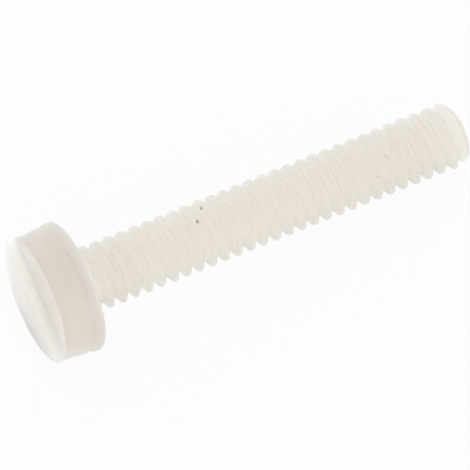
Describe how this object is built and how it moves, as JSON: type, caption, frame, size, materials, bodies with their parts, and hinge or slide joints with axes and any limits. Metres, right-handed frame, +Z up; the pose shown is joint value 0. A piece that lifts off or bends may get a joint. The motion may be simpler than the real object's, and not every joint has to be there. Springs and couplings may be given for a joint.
{
  "type": "cheese head screw",
  "caption": "Slotted cheese head machine screw in milky natural nylon, with a thread from head to tip and a chamfered end.",
  "frame": {"origin": "on the surface that the screw lies on, under the middle of its length", "axes": "+Z up; the screw lies along X, its slotted head towards -X and its tip towards +X, with its axis dipping about 4.7 degrees towards the tip"},
  "size_m": [0.0134, 0.0038, 0.0038],
  "materials": {
    "natural_nylon": "milky translucent natural nylon, as moulded, with a soft sheen"
  },
  "bodies": {
    "root": {"screw": "natural_nylon"}
  },
  "joints": []
}
